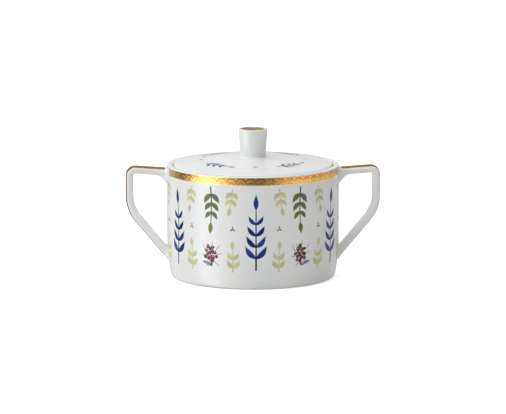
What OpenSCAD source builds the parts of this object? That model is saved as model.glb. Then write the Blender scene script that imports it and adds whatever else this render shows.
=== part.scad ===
// Covered sugar bowl: a cylindrical porcelain bowl with two angular strap
// handles, a low domed lid that drops into a gallery inside the rim, and a
// tapered knob. Gilding sits in shallow seats so that it ends flush.
// Millimetres, +Z up, handles along X. The origin is the centre of the circle
// the foot stands on.

/* [Bowl] */
// Outside diameter of the bowl wall
bowl_d = 96; // [90:0.5:104]
// Height of the rim above the table
rim_h = 63.3; // [60:0.1:74]
// Thickness of the wall
wall_t = 3.3; // [2.8:0.1:3.8]
// Thickness of the floor at its centre
floor_t = 3.4; // [2.6:0.1:5]
// Inside radius where the floor turns up into the wall
inside_r = 9; // [4:0.5:14]
// Height at which the wall starts to draw in towards the foot
draw_z = 21.6; // [16:0.2:28]
// Radius of the curve that draws the wall in
draw_r = 100; // [80:1:160]
// Radius of the lower outside corner
heel_r = 2.8; // [2:0.1:4]
// Radius on the outer edge of the rim
lip_r = 0.6; // [0.4:0.05:0.8]

/* [Foot] */
// Depth of the hollow inside the foot ring
foot_h = 1.6; // [1:0.1:2]
// Width of the foot ring
foot_w = 3.2; // [2.6:0.1:5]

/* [Gallery and lid] */
// Depth of the lid's seat below the rim
seat_depth = 3.1; // [2.6:0.1:4]
// Width of the seat that the lid rests on
seat_w = 3; // [2.4:0.1:4]
// Gap all round between the lid's edge and the rim
lid_gap = 0.4; // [0.3:0.05:0.8]
// Height of the lid's edge above the rim
lid_proud = 0.3; // [0:0.05:1]
// Rise of the lid's dome from its edge to its centre
dome_h = 3.8; // [2.5:0.1:7]
// Thickness of the lid
lid_t = 2.9; // [2.4:0.1:3.4]
// Depth of the ring under the lid that keeps it centred
flange_h = 3.6; // [2:0.1:5]
// Thickness of that ring
flange_w = 2.4; // [2:0.1:3]

/* [Knob] */
// Diameter of the knob at its foot
knob_d1 = 14.2; // [12:0.1:16]
// Diameter of the knob at its top
knob_d2 = 16.2; // [14:0.1:20]
// Height of the knob above the lid's centre
knob_h = 15.8; // [10:0.1:22]
// Radius where the knob grows out of the lid
knob_root_r = 2; // [1:0.1:3]
// Radius on the knob's top edge
knob_edge_r = 0.8; // [0.5:0.1:1.2]

/* [Handles] */
// Distance from the bowl's axis to the outer face of a handle
handle_reach = 71; // [68:0.5:80]
// Thickness of the strap
strap_t = 3.9; // [3:0.1:5]
// Width of the strap
strap_w = 9; // [7:0.2:12]
// Radius on the strap's edges
strap_r = 1.25; // [0.8:0.05:1.45]
// Height of the strap's top face where it leaves the wall
strap_top = 61.1; // [58:0.1:61.4]
// Angle at which the top bar climbs away from the wall
climb = 4; // [0:0.5:8]
// Outside radius of the upper corner
corner_r = 5.1; // [4.6:0.1:9]
// Height at which the lower bend begins
bend_z = 46; // [43:0.5:50]
// Outside radius of the lower bend
bend_r = 22.6; // [16:0.2:26]
// Angle of the lower bar away from vertical
slant = 40; // [34:1:46]
// Radius of the web under the top bar
web_r = 6; // [3:0.2:8]

/* [Gilding] */
// Height of the rim band
band_h = 4.2; // [2:0.1:7]
// Distance from the handle's middle plane to the end of the rim band
band_stop = 9.6; // [6:0.2:16]
// Width of the line along each handle
line_w = 6.4; // [2:0.1:6.4]
// Distance from the wall to each end of that line
line_stop = 1.2; // [0.6:0.1:4]
// Diameter of the disc on the knob
disc_d = 13.8; // [8:0.2:14.4]
// Depth of every gilding seat
gild_t = 0.3; // [0.2:0.05:0.5]

/* [Hidden] */

R = bowl_d / 2;
Ri = R - wall_t;

// heel: the corner arc is tangent to the table and to the long draw arc
heel_cz = heel_r;
heel_dx = sqrt(pow(draw_r - heel_r, 2) - pow(draw_z - heel_cz, 2));
heel_cx = R - draw_r + heel_dx;
heel_a = atan2(heel_cz - draw_z, heel_dx);
foot_ri = heel_cx - foot_w;

// gallery
seat_z = rim_h - seat_depth;
gallery_r = Ri + 0.1;
seat_ri = gallery_r - seat_w;
lid_r = gallery_r - lid_gap;

// lid: a spherical cap; its underside is the same cap, lid_t lower
edge_z = rim_h + lid_proud;
cap_r = (lid_r * lid_r + dome_h * dome_h) / (2 * dome_h);
cap_cz = edge_z + dome_h - cap_r;
lid_edge_r = 0.9;
lid_ex = lid_r - lid_edge_r;
lid_ez = cap_cz + sqrt(pow(cap_r - lid_edge_r, 2) - lid_ex * lid_ex);
lid_ea = atan2(lid_ez - cap_cz, lid_ex);
flange_ro = seat_ri - 0.6;
flange_ri = flange_ro - flange_w;

// knob
apex_z = edge_z + dome_h;
knob_z = apex_z + knob_h;
kr1 = knob_d1 / 2;
kr2 = knob_d2 / 2;

// handle route in the XZ plane, along the middle of the strap
top_c = corner_r - strap_t / 2;
bend_c = bend_r - strap_t / 2;
mid_x = handle_reach - strap_t / 2;
wall_mid_z = strap_top - strap_t / 2 / cos(climb);
c1x = mid_x - top_c;
e1x = c1x - top_c * sin(climb);
e1z = wall_mid_z + (e1x - R) * tan(climb);
c1z = e1z - top_c * cos(climb);
c2x = mid_x - bend_c;
e2x = c2x + bend_c * cos(slant);
e2z = bend_z - bend_c * sin(slant);
in_x = R - 4;                       // both bars start this far inside the wall
len1 = (e1x - in_x) / cos(climb);
len3 = (e2x - in_x) / sin(slant);
line_x = R + line_stop;
lap = 0.1;                          // each bar runs this far into a bend
slim = 0.005;                       // and is this much thinner, so it fits inside

// ---------------------------------------------------------------- 2D profiles

// Outside of the bowl from the axis out, without the rim's rounding
module outside2d() {
    translate([0, draw_z]) square([R, rim_h - lip_r - draw_z]);
    translate([0, rim_h - lip_r - 0.01]) square([R - lip_r, lip_r + 0.01]);
    translate([R - lip_r, rim_h - lip_r]) circle(r = lip_r, $fn = 48);
    difference() {
        intersection() {
            translate([R - draw_r, draw_z]) circle(r = draw_r, $fn = 360);
            square([R + 2, draw_z]);
        }
        difference() {
            polygon([[heel_cx, heel_cz], [heel_cx, -4], [R + 6, -4],
                     [R + 6, heel_cz + (R + 6 - heel_cx) * tan(heel_a)]]);
            translate([heel_cx, heel_cz]) circle(r = heel_r, $fn = 72);
        }
    }
}

// Everything that is air inside the bowl
module inside2d() {
    fz = foot_h + floor_t;
    // pot
    translate([0, fz]) square([Ri - inside_r, seat_z - seat_w - fz]);
    translate([0, fz + inside_r]) square([Ri, seat_z - 2 * seat_w - 1 - fz - inside_r]);
    translate([Ri - inside_r, fz + inside_r]) circle(r = inside_r, $fn = 120);
    // the gallery's underside leans in to meet the seat
    polygon([[0, seat_z - 2 * seat_w - 1.01], [Ri, seat_z - 2 * seat_w - 1.01],
             [seat_ri, seat_z - 2.2], [seat_ri, seat_z + 0.01], [0, seat_z + 0.01]]);
    // gallery
    translate([0, seat_z]) square([gallery_r, rim_h - seat_z + 2]);
    // inner edge of the rim
    difference() {
        translate([gallery_r - 0.01, rim_h - 0.5]) square([0.51, 1]);
        translate([gallery_r + 0.5, rim_h - 0.5]) circle(r = 0.5, $fn = 48);
    }
}

// Hollow inside the foot ring
module foot2d() {
    square([foot_ri - 0.8, foot_h]);
    square([foot_ri, foot_h - 0.8]);
    translate([foot_ri - 0.8, foot_h - 0.8]) circle(r = 0.8, $fn = 48);
    polygon([[0, -1], [foot_ri + 1.5, -1], [foot_ri, 0.5], [0, 0.5]]);
}

module lid2d() {
    difference() {
        intersection() {
            translate([0, cap_cz]) circle(r = cap_r, $fn = 720);
            translate([0, seat_z]) square([lid_r, 30]);
        }
        // top edge
        difference() {
            polygon([[lid_ex, lid_ez], [lid_r + 3, lid_ez], [lid_r + 3, lid_ez + 6],
                     [lid_ex + 6 * cos(lid_ea), lid_ez + 6 * sin(lid_ea)]]);
            translate([lid_ex, lid_ez]) circle(r = lid_edge_r, $fn = 72);
        }
        // underside
        intersection() {
            translate([0, cap_cz]) circle(r = cap_r - lid_t, $fn = 720);
            translate([0, seat_z - 1]) square([flange_ri, 30]);
        }
    }
    // centring ring
    translate([flange_ri, seat_z - flange_h]) difference() {
        square([flange_w, flange_h + 0.2]);
        translate([-1, -1]) difference() {
            square([flange_w + 2, 1 + flange_w / 2]);
            translate([1 + flange_w / 2, 1 + flange_w / 2]) circle(r = flange_w / 2, $fn = 48);
        }
    }
}

module knob2d() {
    difference() {
        union() {
            polygon([[0, apex_z - 6], [kr1, apex_z - 6], [kr1, apex_z],
                     [kr2, knob_z - knob_edge_r], [0, knob_z - knob_edge_r]]);
            translate([0, knob_z - knob_edge_r - 0.01]) square([kr2 - knob_edge_r, knob_edge_r + 0.01]);
            translate([kr2 - knob_edge_r, knob_z - knob_edge_r]) circle(r = knob_edge_r, $fn = 72);
            // root
            difference() {
                translate([0, apex_z - 3]) square([kr1 + knob_root_r + 0.12, 3 + knob_root_r]);
                translate([kr1 + knob_root_r + 0.12, apex_z + knob_root_r - 0.1]) circle(r = knob_root_r, $fn = 96);
            }
        }
        translate([0, cap_cz]) circle(r = cap_r, $fn = 720);
        translate([0, knob_z - gild_t]) square([disc_d / 2, 2]);
    }
}

// Strap section, less s all round: x is its thickness, y its width
module strap2d(s) {
    r = strap_r - s;
    square([strap_t - 2 * s, strap_w - 2 * strap_r], center = true);
    square([strap_t - 2 * strap_r, strap_w - 2 * s], center = true);
    for (x = [-1, 1], y = [-1, 1])
        translate([x * (strap_t / 2 - strap_r), y * (strap_w / 2 - strap_r)])
            circle(r = r, $fn = 48);
}

// Gilding section in the outer face, with the outside towards +x
module line2d(s, over = 0) {
    translate([strap_t / 2 - gild_t + s, -line_w / 2 + s])
        square([gild_t + over - 2 * s, line_w - 2 * s]);
}

module section2d(kind, s) {
    if (kind == "strap") strap2d(s);
    if (kind == "line") line2d(s / 2);
    if (kind == "seat") line2d(s / 2, 0.2);
}

// ---------------------------------------------------------------- helpers

module bar(x, z, heading, len)
    translate([x, 0, z]) rotate([0, 90 - heading, 0]) translate([0, 0, -lap])
        linear_extrude(len + 2 * lap) mirror([1, 0]) children();

module bend(x, z, r, from, sweep)
    translate([x, 0, z]) rotate([90, 0, 0]) rotate([0, 0, from])
        rotate_extrude(angle = sweep, $fn = 180) translate([r, 0]) children();

// The whole right-hand route with any section
module route(kind) {
    bar(in_x, wall_mid_z + (in_x - R) * tan(climb), climb, len1) section2d(kind, slim);
    bend(c1x, c1z, top_c, 0, 90 + climb) section2d(kind, 0);
    translate([mid_x, 0, bend_z - lap]) linear_extrude(c1z - bend_z + 2 * lap) section2d(kind, slim);
    bend(c2x, bend_z, bend_c, -slant, slant) section2d(kind, 0);
    bar(e2x, e2z, -90 - slant, len3) section2d(kind, slim);
}

module bowl_solid() rotate_extrude($fn = 180) outside2d();

module line_right(kind) {
    intersection() {
        route(kind);
        translate([line_x, -20, 0]) cube([60, 40, 90]);
    }
}

module handle_right_solid() {
    difference() {
        union() {
            route("strap");
            // web under the top bar
            translate([0, strap_w / 2 - strap_r, 0]) rotate([90, 0, 0])
                linear_extrude(strap_w - 2 * strap_r) difference() {
                    translate([R - 3, wall_mid_z - strap_t / 2 - web_r + 0.4])
                        square([web_r + 3 + 0.5, web_r + 1]);
                    translate([R + web_r, wall_mid_z - strap_t / 2 - web_r + 0.4])
                        circle(r = web_r, $fn = 120);
                }
        }
        bowl_solid();
        line_right("seat");
    }
}

// ---------------------------------------------------------------- sub-parts

module bowl_body() color("white") {
    difference() {
        bowl_solid();
        rotate_extrude($fn = 180) inside2d();
        rotate_extrude($fn = 180) foot2d();
        rim_band_solid();
    }
}

module rim_band_solid() {
    difference() {
        translate([0, 0, rim_h - lip_r - band_h]) rotate_extrude($fn = 180)
            translate([R - gild_t, 0]) square([gild_t, band_h]);
        translate([-R - 5, -band_stop, rim_h - band_h - 5]) cube([bowl_d + 10, 2 * band_stop, band_h + 10]);
    }
}

module rim_gold_band() color("goldenrod") rim_band_solid();

module handle_right() color("white") handle_right_solid();

module handle_left() color("white") mirror([1, 0, 0]) handle_right_solid();

module handle_right_gold_line() color("goldenrod") line_right("line");

module handle_left_gold_line() color("goldenrod") mirror([1, 0, 0]) line_right("line");

module lid_plate() color("white") rotate_extrude($fn = 180) lid2d();

module lid_knob() color("white") rotate_extrude($fn = 120) knob2d();

module knob_gold_disc() color("goldenrod")
    translate([0, 0, knob_z - gild_t]) cylinder(d = disc_d, h = gild_t, $fn = 120);

bowl_body();
handle_left();
handle_right();
rim_gold_band();
handle_left_gold_line();
handle_right_gold_line();
lid_plate();
lid_knob();
knob_gold_disc();
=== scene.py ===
import math
import random

import bpy
import numpy as np
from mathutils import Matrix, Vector


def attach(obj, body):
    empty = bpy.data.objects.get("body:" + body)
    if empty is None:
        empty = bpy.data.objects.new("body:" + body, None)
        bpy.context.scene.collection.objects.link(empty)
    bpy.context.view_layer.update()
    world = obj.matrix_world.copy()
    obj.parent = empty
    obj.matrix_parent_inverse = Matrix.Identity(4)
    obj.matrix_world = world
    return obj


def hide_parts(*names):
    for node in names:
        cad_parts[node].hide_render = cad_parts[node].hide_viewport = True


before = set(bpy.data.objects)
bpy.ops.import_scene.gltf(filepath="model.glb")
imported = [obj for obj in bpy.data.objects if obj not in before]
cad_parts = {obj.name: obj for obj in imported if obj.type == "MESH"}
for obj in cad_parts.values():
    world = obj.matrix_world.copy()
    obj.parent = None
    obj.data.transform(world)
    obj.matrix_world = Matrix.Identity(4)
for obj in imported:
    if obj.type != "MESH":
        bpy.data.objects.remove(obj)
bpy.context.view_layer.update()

MM = 0.001

# ------------------------------------------------------------------ dimensions, mm, as in the CAD
R, RI = 48.0, 44.7
RIM, LIP = 63.3, 0.6
DRAW_Z, DRAW_R, HEEL_R = 21.6, 100.0, 2.8
HEEL_DX = math.sqrt((DRAW_R - HEEL_R) ** 2 - (DRAW_Z - HEEL_R) ** 2)
HEEL_X = R - DRAW_R + HEEL_DX
HEEL_A = math.atan2(HEEL_R - DRAW_Z, HEEL_DX)
FOOT_RI = HEEL_X - 3.2
GALLERY_R, SEAT_Z, SEAT_RI = 44.8, 60.2, 41.8
LID_R, EDGE_Z, DOME_H, LID_T = 44.4, 63.6, 3.8, 2.9
CAP_R = (LID_R ** 2 + DOME_H ** 2) / (2 * DOME_H)
CAP_Z = EDGE_Z + DOME_H - CAP_R
FLANGE_RO, FLANGE_RI, FLANGE_Z = 41.2, 38.8, 56.6
APEX, KNOB_Z = 67.4, 83.2
BAND_Z0, BAND_Z1, BAND_STOP = 58.5, 62.7, 9.6


def lin(rgb):
    """Display colour 0-255 to linear RGBA."""
    out = []
    for c in rgb:
        c = c / 255.0
        out.append(c / 12.92 if c <= 0.04045 else ((c + 0.055) / 1.055) ** 2.4)
    return (*out, 1.0)


# ------------------------------------------------------------------ material helpers

def new_mat(name):
    m = bpy.data.materials.new(name)
    m.use_nodes = True
    nt = m.node_tree
    nt.nodes.clear()
    out = nt.nodes.new("ShaderNodeOutputMaterial")
    b = nt.nodes.new("ShaderNodeBsdfPrincipled")
    nt.links.new(b.outputs["BSDF"], out.inputs["Surface"])
    return m, nt, b


def node(nt, kind, **kw):
    n = nt.nodes.new(kind)
    for k, v in kw.items():
        setattr(n, k, v)
    return n


def link(nt, a, b):
    nt.links.new(a, b)


def val(n, name, v):
    n.inputs[name].default_value = v


def math_node(nt, op, a, b=None, clamp=False):
    n = node(nt, "ShaderNodeMath", operation=op, use_clamp=clamp)
    for i, v in enumerate((a, b)):
        if v is None:
            continue
        if isinstance(v, (int, float)):
            n.inputs[i].default_value = v
        else:
            link(nt, v, n.inputs[i])
    return n.outputs[0]


def ramp01(nt, src, lo, hi, a=0.0, b=1.0):
    n = node(nt, "ShaderNodeMapRange", clamp=True, interpolation_type="SMOOTHSTEP")
    link(nt, src, n.inputs["Value"])
    val(n, "From Min", lo)
    val(n, "From Max", hi)
    val(n, "To Min", a)
    val(n, "To Max", b)
    return n.outputs[0]


def mix_rgb(nt, fac, a, b, blend="MIX"):
    n = node(nt, "ShaderNodeMix", data_type="RGBA", blend_type=blend, clamp_factor=True)
    for i, v in ((0, fac), (6, a), (7, b)):
        if isinstance(v, (int, float)):
            n.inputs[i].default_value = v
        elif isinstance(v, tuple):
            n.inputs[i].default_value = v
        else:
            link(nt, v, n.inputs[i])
    return n.outputs[2]


def noise(nt, vec, scale, detail=2.0, rough=0.5, dims="3D", distortion=0.0):
    n = node(nt, "ShaderNodeTexNoise", noise_dimensions=dims)
    if vec is not None:
        link(nt, vec, n.inputs["Vector"])
    val(n, "Scale", scale)
    val(n, "Detail", detail)
    val(n, "Roughness", rough)
    val(n, "Distortion", distortion)
    return n.outputs["Fac"]


def bump(nt, height, strength, distance, bsdf, normal=None):
    n = node(nt, "ShaderNodeBump")
    val(n, "Strength", strength)
    val(n, "Distance", distance)
    link(nt, height, n.inputs["Height"])
    if normal is not None:
        link(nt, normal, n.inputs["Normal"])
    if bsdf is not None:
        link(nt, n.outputs["Normal"], bsdf.inputs["Normal"])
    return n.outputs["Normal"]


PORCELAIN = lin((243, 244, 243))


def porcelain_material(name, bisque=False):
    """Hard white porcelain under a clear glaze: a faint unevenness in colour and gloss, and the
    long, very shallow waviness that a fired glaze has. With bisque the standing ring is bare."""
    m, nt, b = new_mat(name)
    co = node(nt, "ShaderNodeTexCoord").outputs["Object"]
    cloud = noise(nt, co, 45.0, 3.0, 0.5)
    col = mix_rgb(nt, ramp01(nt, cloud, 0.3, 0.7), PORCELAIN, lin((240, 242, 243)))
    fine = noise(nt, co, 900.0, 2.0, 0.6)
    specks = ramp01(nt, noise(nt, co, 2600.0, 0.0, 0.5), 0.80, 0.84, 0.0, 0.35)
    col = mix_rgb(nt, specks, col, lin((222, 220, 214)))
    rough = ramp01(nt, fine, 0.25, 0.75, 0.075, 0.105)
    wave = noise(nt, co, 95.0, 1.0, 0.4)
    peel = noise(nt, co, 620.0, 1.0, 0.5)
    h = math_node(nt, "ADD", wave, math_node(nt, "MULTIPLY", peel, 0.035))
    if bisque:
        z = node(nt, "ShaderNodeSeparateXYZ")
        link(nt, co, z.inputs[0])
        edge = math_node(nt, "ADD", z.outputs["Z"], math_node(nt, "MULTIPLY", noise(nt, co, 260.0, 2.0), 0.00012))
        bare = ramp01(nt, edge, 0.00042, 0.00048, 1.0, 0.0)
        grit = noise(nt, co, 3800.0, 3.0, 0.7)
        col = mix_rgb(nt, bare, col, mix_rgb(nt, grit, lin((226, 222, 212)), lin((238, 235, 228))))
        rough = math_node(nt, "MAXIMUM", rough, math_node(nt, "MULTIPLY", bare, 0.72))
        h = math_node(nt, "ADD", h, math_node(nt, "MULTIPLY", math_node(nt, "MULTIPLY", grit, bare), 0.25))
    link(nt, col, b.inputs["Base Color"])
    link(nt, rough, b.inputs["Roughness"])
    val(b, "IOR", 1.5)
    bump(nt, h, 0.5, 0.00006, b)
    return m


def gold_material(name, kind):
    """Fired bright gold. kind: relief (etched band), line (brushed on by hand) or disc."""
    m, nt, b = new_mat(name)
    co = node(nt, "ShaderNodeTexCoord").outputs["Object"]
    val(b, "Metallic", 1.0)
    tone = noise(nt, co, 240.0, 3.0, 0.6)
    light, deep = lin((255, 219, 140)), lin((248, 204, 116))
    if kind == "disc":
        light, deep = lin((226, 200, 152)), lin((206, 178, 128))
        b.inputs["Specular Tint"].default_value = (0.48, 0.43, 0.35, 1.0)
    if kind == "line":
        light, deep = lin((200, 160, 92)), lin((166, 127, 66))
        b.inputs["Specular Tint"].default_value = (0.62, 0.50, 0.32, 1.0)
    if kind == "drawn":
        light, deep = lin((196, 150, 78)), lin((146, 102, 46))
    col = mix_rgb(nt, ramp01(nt, tone, 0.3, 0.7), deep, light)
    grain = noise(nt, co, 1800.0, 3.0, 0.65)
    if kind == "relief":
        h = node(nt, "ShaderNodeAttribute", attribute_name="relief").outputs["Fac"]
        # The etched hollows (low) are painted a deeper brown gold: this is painted shade in the recesses of the relief.
        # Their duller finish is the small extra roughness added below.
        low = ramp01(nt, h, 0.05, 0.6, 1.0, 0.0)
        col = mix_rgb(nt, math_node(nt, "MULTIPLY", low, 0.74), col, lin((164, 108, 42)))
        rough = math_node(nt, "ADD", ramp01(nt, grain, 0.3, 0.7, 0.10, 0.18), math_node(nt, "MULTIPLY", low, 0.05))
        bump(nt, grain, 0.35, 0.00004, b)
    elif kind == "disc":
        mp = node(nt, "ShaderNodeMapping")
        mp.inputs["Scale"].default_value = (260.0, 5200.0, 1.0)
        link(nt, co, mp.inputs["Vector"])
        brush = noise(nt, mp.outputs[0], 1.0, 2.0, 0.6)
        rough = ramp01(nt, brush, 0.25, 0.75, 0.30, 0.44)
        bump(nt, brush, 0.25, 0.00004, b)
    else:
        rough = ramp01(nt, grain, 0.3, 0.7, 0.20, 0.34)
        bump(nt, grain, 0.3, 0.00004, b)
    link(nt, col, b.inputs["Base Color"])
    link(nt, rough, b.inputs["Roughness"])
    return m


def print_material(name, kind):
    """Decoration fired under the same glaze. Every drawn shape carries its own coordinates:
    st = (along 0-1, across -1 to 1, number) and its two colours ca and cb."""
    m, nt, b = new_mat(name)
    st = node(nt, "ShaderNodeAttribute", attribute_name="st").outputs["Vector"]
    ca = node(nt, "ShaderNodeAttribute", attribute_name="ca").outputs["Color"]
    cb = node(nt, "ShaderNodeAttribute", attribute_name="cb").outputs["Color"]
    co = node(nt, "ShaderNodeTexCoord").outputs["Object"]
    sep = node(nt, "ShaderNodeSeparateXYZ")
    link(nt, st, sep.inputs[0])
    s, t, idn = sep.outputs
    at = math_node(nt, "ABSOLUTE", t)

    def streaks(sx, sy, scale, detail=3.0, rough=0.6, dist=0.0):
        mp = node(nt, "ShaderNodeMapping")
        mp.inputs["Scale"].default_value = (sx, sy, 3.7)
        link(nt, st, mp.inputs["Vector"])
        return noise(nt, mp.outputs[0], scale, detail, rough, "3D", dist)

    if kind == "leaf":
        f = ramp01(nt, streaks(1.6, 9.0, 1.3, 3.0, 0.6, 0.25), 0.36, 0.68)
        col = mix_rgb(nt, f, ca, cb)
        wash = ramp01(nt, streaks(2.2, 1.3, 1.6, 2.0), 0.35, 0.7)
        col = mix_rgb(nt, math_node(nt, "MULTIPLY", wash, 0.55), col, cb)
        rib = ramp01(nt, at, 0.03, 0.13, 0.75, 0.0)
        rim = ramp01(nt, at, 0.78, 1.0, 0.0, 0.5)
        ends = ramp01(nt, s, 0.0, 0.16, 0.55, 0.0)
        dark = math_node(nt, "MAXIMUM", math_node(nt, "MAXIMUM", rib, rim), ends)
        col = mix_rgb(nt, dark, col, mix_rgb(nt, 0.55, ca, (0.004, 0.006, 0.02, 1.0)))
        rough = 0.11
    elif kind == "stem":
        f = ramp01(nt, streaks(7.0, 1.5, 1.4, 2.0), 0.35, 0.7)
        col = mix_rgb(nt, f, ca, cb)
        rough = 0.11
    elif kind == "wash":
        f = ramp01(nt, streaks(1.4, 7.0, 1.3, 4.0, 0.65, 0.4), 0.32, 0.7)
        col = mix_rgb(nt, f, ca, cb)
        rib = ramp01(nt, at, 0.02, 0.10, 0.5, 0.0)
        col = mix_rgb(nt, rib, col, mix_rgb(nt, 0.5, ca, lin((90, 90, 120))))
        thin = ramp01(nt, streaks(2.0, 2.2, 1.7, 3.0), 0.42, 0.72, 0.0, 0.25)
        col = mix_rgb(nt, thin, col, PORCELAIN)
        rough = 0.10
    elif kind == "fan":
        veins = streaks(0.9, 15.0, 1.5, 4.0, 0.62, 0.12)
        f = ramp01(nt, veins, 0.34, 0.66)
        col = mix_rgb(nt, f, ca, cb)
        hair = ramp01(nt, streaks(0.5, 34.0, 1.4, 1.0, 0.5), 0.54, 0.66)
        inner = ramp01(nt, s, 0.25, 0.95, 1.0, 0.25)
        dark = mix_rgb(nt, 0.35, ca, lin((70, 92, 84)))
        col = mix_rgb(nt, math_node(nt, "MULTIPLY", math_node(nt, "MULTIPLY", hair, inner), 0.6), col, dark)
        rimz = ramp01(nt, s, 0.9, 1.0, 0.0, 0.45)
        col = mix_rgb(nt, rimz, col, mix_rgb(nt, 0.45, ca, lin((120, 116, 40))))
        cent = math_node(nt, "MULTIPLY", ramp01(nt, at, 0.0, 0.36, 1.0, 0.0), ramp01(nt, s, 0.15, 0.85, 1.0, 0.0))
        teal = node(nt, "ShaderNodeAttribute", attribute_name="cc").outputs["Color"]
        col = mix_rgb(nt, math_node(nt, "MULTIPLY", cent, 0.75), col, teal)
        pale = ramp01(nt, streaks(0.7, 5.0, 1.7, 2.0), 0.58, 0.74, 0.0, 0.5)
        col = mix_rgb(nt, math_node(nt, "MULTIPLY", pale, ramp01(nt, s, 0.0, 0.5, 1.0, 0.4)), col, PORCELAIN)
        rough = 0.10
    elif kind == "pale_fan":
        f = ramp01(nt, streaks(0.9, 11.0, 1.5, 4.0, 0.62, 0.12), 0.34, 0.66)
        col = mix_rgb(nt, f, ca, cb)
        hair = ramp01(nt, streaks(0.5, 26.0, 1.4, 1.0, 0.5), 0.55, 0.66, 0.0, 0.35)
        teal = node(nt, "ShaderNodeAttribute", attribute_name="cc").outputs["Color"]
        col = mix_rgb(nt, hair, col, teal)
        edge = math_node(nt, "MAXIMUM", ramp01(nt, s, 0.70, 1.0, 0.0, 0.92), ramp01(nt, at, 0.8, 1.0, 0.0, 0.9))
        cloud = ramp01(nt, streaks(1.6, 2.4, 1.8, 3.0), 0.40, 0.66, 0.0, 0.75)
        keep = math_node(nt, "MAXIMUM", edge, cloud)
        col = mix_rgb(nt, keep, col, PORCELAIN)
        rough = 0.10
    else:  # berry
        f = ramp01(nt, s, 0.35, 0.95)
        col = mix_rgb(nt, f, cb, ca)
        blot = ramp01(nt, streaks(3.0, 3.0, 1.6, 2.0), 0.4, 0.7)
        col = mix_rgb(nt, math_node(nt, "MULTIPLY", blot, 0.5), col, ca)
        rough = 0.11
    grain = ramp01(nt, noise(nt, co, 3400.0, 1.0, 0.5), 0.62, 0.78, 0.0, 0.10)
    col = mix_rgb(nt, grain, col, PORCELAIN)
    link(nt, col, b.inputs["Base Color"])
    gl = ramp01(nt, noise(nt, co, 900.0, 2.0, 0.6), 0.25, 0.75, rough - 0.02, rough + 0.02)
    link(nt, gl, b.inputs["Roughness"])
    val(b, "IOR", 1.5)
    val(b, "Specular IOR Level", 0.24)
    bump(nt, math_node(nt, "ADD", noise(nt, co, 95.0, 1.0, 0.4), math_node(nt, "MULTIPLY", noise(nt, co, 620.0, 1.0, 0.5), 0.035)),
         0.5, 0.00006, b)
    return m


MAT = {
    "bowl": porcelain_material("porcelain_bowl", bisque=True),
    "white": porcelain_material("porcelain_glazed"),
    "relief": gold_material("gold_etched", "relief"),
    "line": gold_material("gold_line", "line"),
    "drawn": gold_material("gold_drawn", "drawn"),
    "disc": gold_material("gold_disc", "disc"),
    "leaf": print_material("print_leaf", "leaf"),
    "stem": print_material("print_stem", "stem"),
    "wash": print_material("print_wash", "wash"),
    "fan": print_material("print_fan", "fan"),
    "pale_fan": print_material("print_pale_fan", "pale_fan"),
    "berry": print_material("print_berry", "berry"),
}


# ------------------------------------------------------------------ mesh helpers

def make(name, verts, faces, mat, body, replaces=(), sharp=35.0, attrs=None):
    me = bpy.data.meshes.new(name)
    me.from_pydata((np.asarray(verts, dtype=float) * MM).tolist(), [], [list(map(int, f)) for f in faces])
    me.validate()
    me.update()
    for key, (kind, data) in (attrs or {}).items():
        a = me.attributes.new(key, kind, "POINT")
        data = np.asarray(data, dtype=np.float32)
        a.data.foreach_set({"FLOAT": "value", "FLOAT_VECTOR": "vector", "FLOAT_COLOR": "color"}[kind], data.ravel())
    ob = bpy.data.objects.new(name, me)
    bpy.context.scene.collection.objects.link(ob)
    me.shade_smooth()
    me.set_sharp_from_angle(angle=math.radians(sharp))
    me.materials.append(mat)
    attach(ob, body)
    if replaces:
        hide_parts(*replaces)
    return ob


def fillet(points, step=10.0):
    """points: (r, z, radius). Returns the polyline with its corners rounded."""
    out = []
    n = len(points)
    for i, (x, z, rad) in enumerate(points):
        if rad <= 0 or i in (0, n - 1):
            out.append((x, z))
            continue
        p = np.array([x, z]); a = np.array(points[i - 1][:2]) - p; b = np.array(points[i + 1][:2]) - p
        la, lb = np.linalg.norm(a), np.linalg.norm(b)
        a, b = a / la, b / lb
        ang = math.acos(max(-1, min(1, float(a @ b))))
        d = min(rad / math.tan(ang / 2), 0.499 * la, 0.499 * lb)
        rad = d * math.tan(ang / 2)
        c = p + (a + b) / np.linalg.norm(a + b) * (rad / math.sin(ang / 2))
        u, v = p + a * d - c, p + b * d - c
        turn = math.pi - ang
        k = max(3, int(math.degrees(turn) / step) + 1)
        for j in range(k + 1):
            f = j / k
            w = (math.sin((1 - f) * turn) * u + math.sin(f * turn) * v) / math.sin(turn)
            out.append(tuple(c + w))
    return out


def support(poly, guard=0.18, long=4.0):
    """Adds rings near the ends of straight stretches, so that shading stays flat along them."""
    out = [poly[0]]
    for a, b in zip(poly[:-1], poly[1:]):
        a, b = np.array(a), np.array(b)
        l = float(np.linalg.norm(b - a))
        if l > 5 * guard:
            ts = [guard / l]
            k = int((l - 2 * guard) / long)
            ts += [(guard + (l - 2 * guard) * (j + 1) / (k + 1)) / l for j in range(k)]
            ts.append(1 - guard / l)
            out += [tuple(a + (b - a) * t) for t in ts]
        out.append(tuple(b))
    return out


def arc(cx, cz, r, a0, a1, n):
    return [(cx + r * math.cos(a0 + (a1 - a0) * i / n), cz + r * math.sin(a0 + (a1 - a0) * i / n)) for i in range(n + 1)]


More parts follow.
